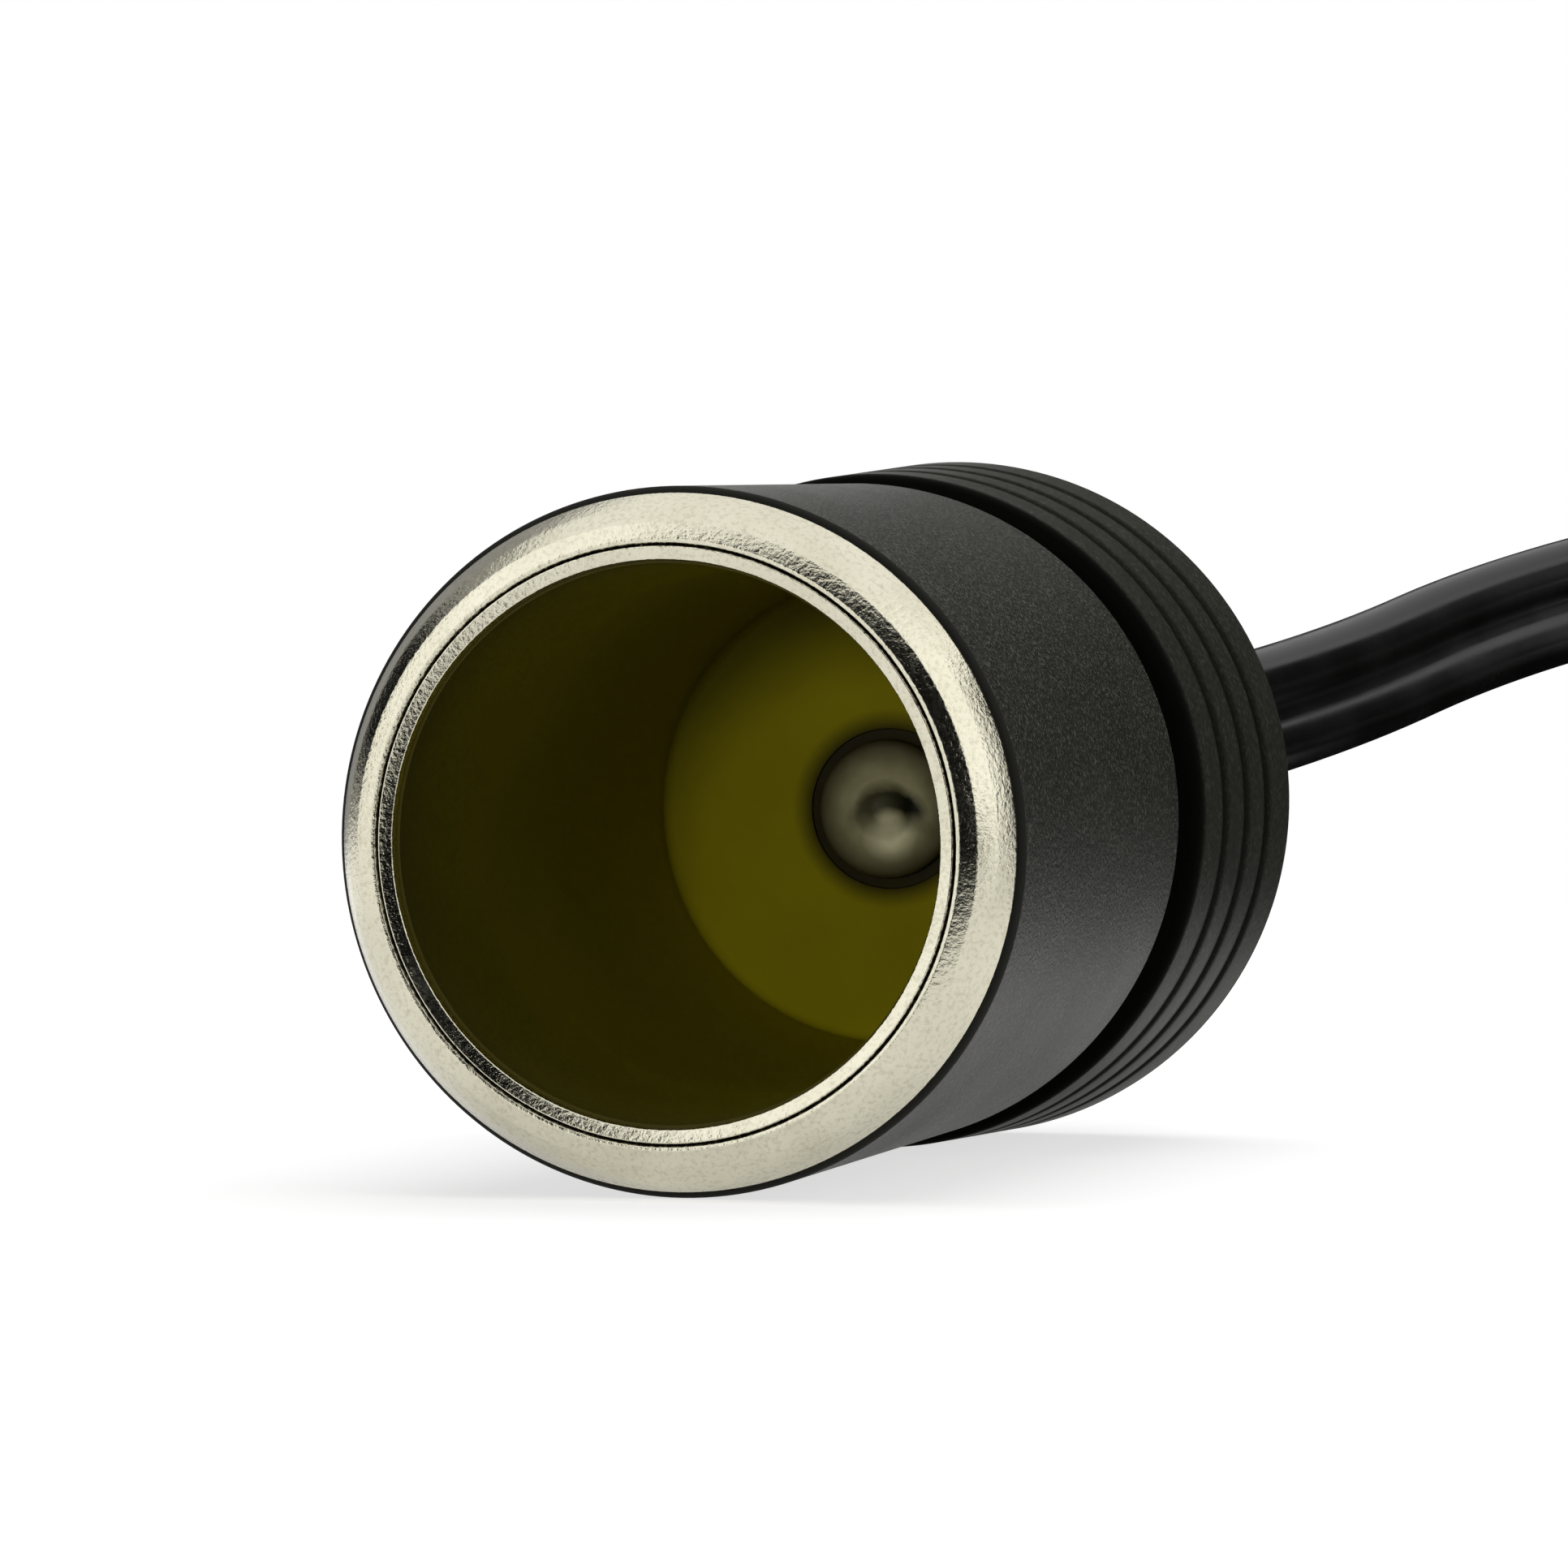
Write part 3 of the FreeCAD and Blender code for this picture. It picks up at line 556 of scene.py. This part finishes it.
def fuse_glass():
    """Clear glass with a faint green tint."""
    f = Finish("fuse glass", Metallic=0.0, IOR=1.5, Transmission_Weight=1.0)
    cloud = f.noise(300, 2.0)
    f.feed(
        Base_Color=f.blend(cloud, rgb(0.92, 0.96, 0.94), rgb(0.97, 0.99, 0.98)),
        Roughness=f.spread(cloud, 0.3, 0.7, 0.02, 0.05),
    )
    return f.material


def woven_strap():
    """Black webbing: threads along the band, which runs outwards or upwards, cross threads across it."""
    f = Finish("strap weave", Metallic=0.0, Sheen_Weight=0.3, Sheen_Roughness=0.5)
    thread_pitch = 0.7 * MM
    thread = FULL_TURN / thread_pitch
    band = f.about(strap_stand)
    x, y, z = (f.node("ShaderNodeSeparateXYZ", None, {0: band}, output=axis) for axis in range(3))
    length_wave = f.node("ShaderNodeMath", {"operation": "SINE"}, {0: (x + z) * thread})
    width_wave = f.node("ShaderNodeMath", {"operation": "SINE"}, {0: y * thread})
    weave = length_wave * width_wave * 0.5 + 0.5
    fluff = f.noise(5200, 3.0)
    f.feed(
        Base_Color=f.blend(f.spread(weave * 0.7 + fluff * 0.3, 0.2, 0.8), rgb(0.010, 0.010, 0.012),
                           rgb(0.05, 0.05, 0.056)),
        Roughness=f.spread(fluff, 0.3, 0.7, 0.75, 0.9),
        Normal=f.bump(weave * 0.8 + fluff * 0.2, 0.15 * MM),
    )
    return f.material


nickel = satin_nickel()
olive = olive_plate()
contact = rivet_nickel()
housing_black = grained_black()
cap_black = grooved_black()
rubber = eroded_black("relief rubber", rgb(0.012, 0.012, 0.012), rgb(0.03, 0.03, 0.03), 0.6, 2600,
                      0.02 * MM, 0.3)
plug_black = eroded_black("plug black", rgb(0.013, 0.013, 0.0135), rgb(0.035, 0.035, 0.035), 0.42, 3600,
                          0.015 * MM, 0.4)
trim_black = eroded_black("trim black", rgb(0.012, 0.012, 0.0125), rgb(0.022, 0.022, 0.022), 0.3, 3600,
                          0.006 * MM, 0.45)
lead_black = smooth_black("lead black", (0.0030, 0.0031, 0.0028), 0.24)
bright_nickel = plain_metal("plug nickel", (0.66, 0.65, 0.62), (0.76, 0.75, 0.71), 0.22)
brass = plain_metal("tag brass", (0.60, 0.42, 0.16), (0.74, 0.56, 0.26), 0.3)
tinned = plain_metal("tinned wire", (0.55, 0.55, 0.55), (0.68, 0.68, 0.68), 0.3)
pressed_card = plain_plastic("insulator card", (0.24, 0.13, 0.05), (0.34, 0.20, 0.09), 0.6)
core_red = plain_plastic("core red", (0.36, 0.012, 0.012), (0.46, 0.02, 0.02), 0.35)
core_black = plain_plastic("core black", (0.012, 0.012, 0.012), (0.02, 0.02, 0.02), 0.35)
bush_black = plain_plastic("bush black", (0.016, 0.013, 0.003), (0.024, 0.020, 0.005), 0.6)
glass = fuse_glass()
strap = woven_strap()

for node, finish in {
    "plug_shell_upper": plug_black, "plug_shell_lower": plug_black, "nose_cap": trim_black,
    "grip_ring": trim_black, "tip_pin": bright_nickel, "side_strip_right": bright_nickel,
    "side_strip_left": bright_nickel, "fuse_cap_front": bright_nickel, "fuse_cap_rear": bright_nickel,
    "fuse_glass": glass, "fuse_link": tinned, "fuse_terminal": brass, "earth_clip": brass,
    "positive_tag": brass, "earth_tag": brass, "contact_bush": bush_black, "back_washer": pressed_card,
    "positive_core": core_red, "plug_positive_core": core_red, "negative_core": core_black,
    "plug_negative_core": core_black, "socket_inner_end": lead_black, "plug_inner_cord": lead_black,
}.items():
    frame["nodes"][node].material_slots[0].material = finish


def rolled_mouth():
    """The bright ring: a lip sloping into the bore, a crease, a bead and a flange sloping outwards."""
    return turned("rolled_mouth", [
        (lip_r, ring_seat),
        (lip_r, lip_low, 0.1 * MM),
        (lip_edge_r, lip_edge, 0.05 * MM),
        (crease_r, crease),
        (bead_edge_r, bead_edge, 0.05 * MM),
        (bead_top_r, bead_top, 0.15 * MM),
        (bead_r, bead_low, 0.2 * MM),
        (slope_r, slope, slope_round),
        (ring_r, ring_edge, 0.2 * MM),
        (ring_r, face),
        (skirt_out, face),
        (skirt_out, skirt_end),
        (skirt_in, skirt_end),
        (skirt_in, ring_seat),
    ], socket_stand, steps=256)


def drawn_cup():
    """The cup: a straight bore that narrows a little by its base, and a base with the contact's hole."""
    return turned("drawn_cup", [
        (bore_r, ring_seat),
        (bore_r, taper_start),
        (cup_base_r, cup_depth, base_round),
        (base_hole_r, cup_depth),
        (base_hole_r, cup_back),
        (cup_base_r + sheet_t, cup_back, base_round + sheet_t),
        (cup_r, taper_start),
        (cup_r, ring_seat),
    ], socket_stand)


def rivet_contact():
    """The rivet's domed head with the dish that was pressed into it, its shank and its clenched tail."""
    return turned("rivet_contact", [
        (0, head_front + dish_depth),
        (0.5 * dish_r, head_front + 0.85 * dish_depth, head_round),
        (dish_r, head_front + dish_lip, dish_round),
        (dome_r, head_front + dome_drop, dome_round),
        (head_r, head_front + head_drop, head_round),
        (head_r, head_back),
        (shank_r, head_back),
        (shank_r, tail_front),
        (tail_r, tail_front),
        (tail_r, tail_end, tail_round),
        (0, tail_end),
    ], socket_stand, steps=96)


def barrel_housing():
    """The tapered barrel, with the neck that carries the rear cap."""
    return turned("barrel_housing", [
        (skirt_out + press_gap, face),
        (barrel_front_r, face, edge_round),
        (barrel_rear_r, barrel_end, edge_round),
        (neck_r, barrel_end, edge_round),
        (neck_r, neck_end, edge_round),
        (cup_r + press_gap, neck_end),
        (cup_r + press_gap, skirt_end + press_gap),
        (skirt_out + press_gap, skirt_end + press_gap),
    ], socket_stand, steps=192)


def ribbed_cap():
    """The rear cap: fine grooves round a widening flank, a rounded rear edge and the lead's hole."""
    def flank(station):
        return cap_front_r + (cap_rear_r - cap_front_r) * (station - cap_start) / (cap_widest - cap_start)

    socket_r = neck_r + press_gap
    corners = [(socket_r, cap_start), (cap_front_r, cap_start, edge_round)]
    for i in range(rib_grooves):
        at = cap_start + (i + 1) * rib_pitch
        near, far = at - rib_groove_w / 2, at + rib_groove_w / 2
        corners += [
            (flank(near), near, rib_groove_depth),
            (flank(at) - rib_groove_depth, at, rib_groove_round),
            (flank(far), far, rib_groove_depth),
        ]
    corners += [
        (flank(cap_end), cap_end, cap_end - cap_widest),
        (cap_hole_r, cap_end, cap_hole_round),
        (cap_hole_r, cap_inside),
        (cap_cavity_r, cap_inside),
        (cap_cavity_r, neck_end + press_gap),
        (socket_r, neck_end + press_gap),
    ]
    return turned("ribbed_cap", corners, socket_stand, steps=192)


stands_for(rolled_mouth(), "mouth_ring", nickel)
stands_for(drawn_cup(), "contact_cup", olive)
stands_for(rivet_contact(), "centre_contact", contact)
stands_for(barrel_housing(), "housing_sleeve", housing_black)
stands_for(ribbed_cap(), "rear_cap", cap_black)


def ringed_boot(name, flange, neck_r, root, tip, rings, matrix):
    """A turned rubber boot: a flange inside the wall, a neck through it, and a taper with ring grooves.

    flange, root and tip are (radius, station); the flange also has its thickness.
    """
    flange_r, flange_front, flange_t = flange
    root_r, root_s = root
    tip_r, tip_s = tip
    pitch = (tip_s - root_s) / (rings + 1)
    corners = [
        (0, flange_front),
        (flange_r, flange_front),
        (flange_r, flange_front + flange_t),
        (neck_r, flange_front + flange_t),
        (neck_r, root_s),
        (root_r, root_s, boot_root_round),
    ]
    for i in range(rings):
        at = root_s + (i + 1) * pitch
        radius = root_r + (tip_r - root_r) * (at - root_s) / (tip_s - root_s)
        bottom = radius - boot_groove_depth
        corners += [
            (radius, at - boot_groove_w / 2, boot_groove_round),
            (bottom, at - boot_groove_w / 4, boot_groove_round),
            (bottom, at + boot_groove_w / 4, boot_groove_round),
            (radius, at + boot_groove_w / 2, boot_groove_round),
        ]
    corners += [(tip_r, tip_s, rubber_round), (0, tip_s)]
    return turned(name, corners, matrix, steps=96)


def cap_boot():
    """The rubber grommet in the rear cap."""
    flange = (grommet_flange_r, cap_inside - grommet_flange_t, grommet_flange_t)
    return ringed_boot("cap_boot", flange, cap_hole_r - press_gap, (grommet_root_r, cap_end),
                       (grommet_tip_r, lead_exit), 2, socket_stand)


def plug_boot():
    """The rubber strain relief of the plug."""
    flange = (boot_flange_r, wire_room_back - boot_flange_t, boot_flange_t)
    return ringed_boot("plug_boot", flange, boot_neck_r, (boot_root_r, shell_end), (boot_tip_r, plug_exit), 4,
                       plug_stand)


def fuse_coil():
    """The spring behind the fuse, as a merged copy of its node's mesh. The real spring shortens as the tip is
    pressed in; this copy does not.
    """
    deselect()
    node = frame["nodes"]["fuse_spring"]
    piece = bpy.data.objects.new("fuse_coil", node.data.copy())
    bpy.context.scene.collection.objects.link(piece)
    piece.select_set(True)
    bpy.context.view_layer.objects.active = piece
    bpy.ops.object.mode_set(mode="EDIT")
    bpy.ops.mesh.select_all(action="SELECT")
    bpy.ops.mesh.remove_doubles(threshold=0.001 * MM)
    return placed(piece, Matrix.Identity(4), smooth_deg=50)


stands_for(cap_boot(), "cord_grommet", rubber)
stands_for(plug_boot(), "plug_relief", rubber)
spring = stands_for(fuse_coil(), "fuse_spring", tinned)
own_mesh(spring)


def lead_control_points():
    """The lead's route: out of the socket, up and over to the coil, round its turns, and on to the plug."""
    points = [along(socket_stand, lead_exit), along(socket_stand, lead_exit + lead_start_run)]
    points += [Vector(point) * MM for point in lead_route]
    step = (coil_to - coil_from) / coil_points
    for i in range(coil_points + 1):
        angle = coil_from + i * step
        turns = (coil_start - angle) / FULL_TURN
        radius = (coil_inner_r + coil_pitch * turns) / math.cos(step / 2)
        points.append(coil_centre + Vector((math.cos(angle), math.sin(angle), 0)) * radius)
    points += [Vector(point) * MM for point in tail_route]
    points += [along(plug_stand, plug_exit + tail_end_run), along(plug_stand, plug_exit)]
    return points


def lead_line():
    """Points along the smooth line of the route."""
    curve = bpy.data.curves.new("lead_line", "CURVE")
    curve.dimensions = "3D"
    route = lead_control_points()
    spline = curve.splines.new("NURBS")
    spline.points.add(len(route) - 1)
    for point, place in zip(spline.points, route):
        point.co = (*place, 1)
    spline.order_u = 3
    spline.use_endpoint_u = True
    spline.resolution_u = 10
    holder = bpy.data.objects.new("lead_line", curve)
    line = bpy.data.meshes.new_from_object(holder)
    points = [vertex.co.copy() for vertex in line.vertices]
    bpy.data.objects.remove(holder)
    bpy.data.meshes.remove(line)
    return points


def arc(centre, radius, start, end, sides):
    """Points (sideways, upright) along an arc, without its last one."""
    angles = [start + (end - start) * i / sides for i in range(sides)]
    return [(centre[0] + radius * math.cos(a), centre[1] + radius * math.sin(a)) for a in angles]


def twin_section():
    """The section of two round cores in one skin, which a hollow draws in a little on each side."""
    core_offset = cord_w / 2 - core_r
    hollow_r = (waist ** 2 + core_offset ** 2 - core_r ** 2) / (2 * (core_r - waist))
    lean = math.atan2(core_offset, waist + hollow_r)
    hollow_x = waist + hollow_r
    section = arc((0, core_offset), core_r, -lean, math.pi + lean, core_sides)
    section += arc((-hollow_x, 0), hollow_r, lean, -lean, waist_sides)
    section += arc((0, -core_offset), core_r, math.pi - lean, FULL_TURN + lean, core_sides)
    section += arc((hollow_x, 0), hollow_r, math.pi + lean, math.pi - lean, waist_sides)
    return section


def twin_flex(points):
    """The flat twin lead, with its wide side upright all the way."""
    section = twin_section()
    count = len(section)
    verts = []
    for i, point in enumerate(points):
        ahead = (points[min(i + 1, len(points) - 1)] - points[max(i - 1, 0)]).normalized()
        upright = (Vector((0, 0, 1)) - ahead * ahead.z).normalized()
        sideways = ahead.cross(upright)
        verts += [point + sideways * x + upright * y for x, y in section]
    faces = []
    for ring in range(len(points) - 1):
        for k in range(count):
            a, b = ring * count + k, ring * count + (k + 1) % count
            faces.append((a, b, b + count, a + count))
    faces.append(tuple(range(count)))
    faces.append(tuple(range(len(verts) - 1, len(verts) - 1 - count, -1)))
    mesh = bpy.data.meshes.new("twin_flex")
    mesh.from_pydata(verts, [], faces)
    piece = bpy.data.objects.new("twin_flex", mesh)
    bpy.context.scene.collection.objects.link(piece)
    deselect()
    piece.select_set(True)
    bpy.context.view_layer.objects.active = piece
    bpy.ops.object.mode_set(mode="EDIT")
    bpy.ops.mesh.select_all(action="SELECT")
    bpy.ops.mesh.normals_make_consistent(inside=False)
    return placed(piece, Matrix.Identity(4), smooth_deg=50)


def strap_tie():
    """The woven strap: one band round the coil, lapped over itself on the top and the outer side."""
    lap_high = strap_high + strap_lap
    lap_outer = strap_outer_r + strap_lap
    piece = drawn("strap_tie", [
        (strap_inner_r + strap_round + strap_inner_gap, strap_high),
        (strap_outer_r, strap_high, strap_round),
        (strap_outer_r, strap_low, strap_round),
        (strap_inner_r, strap_low, strap_round),
        (strap_inner_r, lap_high, strap_round),
        (lap_outer, lap_high, strap_round + strap_lap),
        (lap_outer, strap_tail),
    ], closed=False)
    bpy.ops.mesh.select_all(action="SELECT")
    bpy.ops.transform.translate(value=(0, -strap_w / 2, 0))
    bpy.ops.mesh.extrude_region_move(TRANSFORM_OT_translate={"value": (0, strap_w, 0)})
    bpy.ops.object.mode_set(mode="OBJECT")
    wall = piece.modifiers.new("wall", "SOLIDIFY")
    wall.thickness = strap_t
    wall.offset = 0
    edges = piece.modifiers.new("edges", "BEVEL")
    edges.width = 0.15 * MM
    edges.segments = 2
    edges.limit_method = "ANGLE"
    edges.angle_limit = math.radians(60)
    for modifier in (wall.name, edges.name):
        bpy.ops.object.modifier_apply(modifier=modifier)
    return placed(piece, strap_stand)


lead_path = lead_line()
flex = twin_flex(lead_path)
flex.data.materials.append(lead_black)
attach(flex, "socket")
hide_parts("lead_cord", "lead_coil", "tail_cord")
stands_for(strap_tie(), "coil_tie", strap)
plug_pieces = [
    "plug_shell_upper", "plug_shell_lower", "nose_cap", "tip_pin", "fuse_cap_front", "fuse_cap_rear",
    "fuse_glass", "fuse_link", "fuse_coil", "fuse_terminal", "side_strip_right", "side_strip_left",
    "earth_clip", "plug_positive_core", "plug_negative_core", "grip_ring", "plug_boot", "plug_inner_cord",
]
# The plug lies close by, and would show as a black shape in the bright ring.
for name in plug_pieces:
    bpy.data.objects[name].visible_glossy = False


def table():
    """A pale table that shows white to the camera, to metal and to glass, and keeps the object's shadow."""
    shadow_reach = 0.06
    white_from = 0.22
    under_object = 0.02 * MM
    in_metal = 0.75
    deselect()
    bpy.ops.mesh.primitive_plane_add(size=6, location=(0, 0, -under_object))
    top = bpy.context.object
    top.name = "table"
    f = Finish("table white", Roughness=0.9, Specular_IOR_Level=0.0, Emission_Strength=1.0)
    f.shader.inputs["Base Color"].default_value = rgb(0.5, 0.5, 0.5)
    rays = "ShaderNodeLightPath"
    seen = f.node(rays, output="Is Camera Ray") + f.node(rays, output="Is Glossy Ray") * in_metal \
        + f.node(rays, output="Is Transmission Ray")
    away = f.node("ShaderNodeVectorMath", {"operation": "LENGTH"}, {0: f.place()}, output="Value")
    glow = f.blend(f.spread(away, shadow_reach, white_from), rgb(0.68, 0.68, 0.68), rgb(1, 1, 1))
    f.feed(Emission_Color=f.blend(seen, rgb(0, 0, 0), glow))
    top.data.materials.append(f.material)


def surroundings():
    """White to the camera, metal and glass, and a dimmer even light on everything else."""
    even_light = 0.2
    world = bpy.data.worlds.new("studio")
    bpy.context.scene.world = world
    world.use_nodes = True
    tree = world.node_tree
    rays = tree.nodes.new("ShaderNodeLightPath")
    direct = tree.nodes.new("ShaderNodeMath")
    direct.operation = "MAXIMUM"
    tree.links.new(rays.outputs["Is Camera Ray"], direct.inputs[0])
    tree.links.new(rays.outputs["Is Glossy Ray"], direct.inputs[1])
    seen = tree.nodes.new("ShaderNodeMath")
    seen.operation = "MAXIMUM"
    tree.links.new(direct.outputs[0], seen.inputs[0])
    tree.links.new(rays.outputs["Is Transmission Ray"], seen.inputs[1])
    strength = tree.nodes.new("ShaderNodeMapRange")
    strength.inputs["To Min"].default_value = even_light
    strength.inputs["To Max"].default_value = 1.0
    tree.links.new(seen.outputs[0], strength.inputs["Value"])
    tree.links.new(strength.outputs[0], tree.nodes["Background"].inputs["Strength"])
    tree.nodes["Background"].inputs["Color"].default_value = rgb(1, 1, 1)


def aimed(thing, place, aim, axis):
    """Stands a lamp or a card at a place, with one of its axes towards a point."""
    thing.location = place
    thing.rotation_mode = "QUATERNION"
    thing.rotation_quaternion = (Vector(aim) - Vector(place)).to_track_quat(axis, "Y")


def softbox(name, place, aim, width, height, radiance, shines=True):
    """An even lamp of a given size and brightness. One that doesn't shine shows in no reflection."""
    light = bpy.data.lights.new(name, "AREA")
    light.shape = "RECTANGLE"
    light.size = width
    light.size_y = height
    light.energy = radiance * math.pi * width * height
    lamp = bpy.data.objects.new(name, light)
    bpy.context.scene.collection.objects.link(lamp)
    aimed(lamp, place, aim, "-Z")
    lamp.visible_glossy = shines


def card(name, place, aim, width, height, tone=0.0):
    """A card from black to white that only reflections show."""
    deselect()
    bpy.ops.mesh.primitive_plane_add(size=1)
    sheet = bpy.context.object
    sheet.name = name
    sheet.scale = (width, height, 1)
    aimed(sheet, place, aim, "Z")
    f = Finish(name, Roughness=0.9, Specular_IOR_Level=0.0, Emission_Strength=tone)
    f.shader.inputs["Base Color"].default_value = rgb(0.01, 0.01, 0.01)
    sheet.data.materials.append(f.material)
    sheet.visible_camera = False
    sheet.visible_diffuse = False
    sheet.visible_shadow = False


def camera():
    """A long lens close to the table, from a little to the right of the mouth, turned slightly up."""
    upward = math.radians(1.34)
    heading = Vector((-0.2575, 0.9663, 0))
    ahead = heading * math.cos(upward)
    ahead.z = math.sin(upward)
    data = bpy.data.cameras.new("camera")
    data.sensor_width = 36
    data.lens = 104.35
    data.clip_start = 0.005
    eye = bpy.data.objects.new("camera", data)
    bpy.context.scene.collection.objects.link(eye)
    eye.location = Vector((47.9, -190.2, 11.6)) * MM
    eye.rotation_mode = "QUATERNION"
    eye.rotation_quaternion = ahead.to_track_quat("-Z", "Y")
    bpy.context.scene.camera = eye


table()
surroundings()
socket_middle = along(socket_stand, 20 * MM)
softbox("top box", (0.05, 0.12, 0.75), socket_middle, 0.9, 0.8, 2.0, shines=False)
softbox("right box", (0.62, 0.28, 0.28), socket_middle, 0.5, 0.5, 1.3, shines=False)
softbox("mouth lamp", (0.0, -0.9, 0.05), socket_middle, 0.1, 0.1, 60, shines=False)
card("front card", (0.222, -0.728, 0.247), socket_middle, 0.83, 0.53)
card("front floor card", (0.30, -0.4025, 0.0005), (0.30, -0.4025, 1.0), 0.60, 0.695)
card("left grey card", (-0.475, 0.169, 0.239), socket_middle, 0.95, 0.5, tone=0.3)
card("left card", (-0.433, 0.010, 0.169), socket_middle, 0.42, 0.2)
card("left white card", (-0.40, -0.40, 0.267), socket_middle, 0.6, 0.5, tone=1.2)
card("right white card", (0.52, 0.0, 0.27), socket_middle, 0.6, 0.5, tone=1.25)
card("rear card", (0.36, 0.72, 0.27), socket_middle, 1.25, 0.56)
card("rear floor card", (0.39, 0.415, 0.0005), (0.39, 0.415, 1.0), 0.82, 0.68)
card("right card", (0.16, 0.105, 0.05), (0.012, 0.058, 0.022), 0.13, 0.16)
camera()
bpy.context.scene.view_settings.view_transform = "Standard"
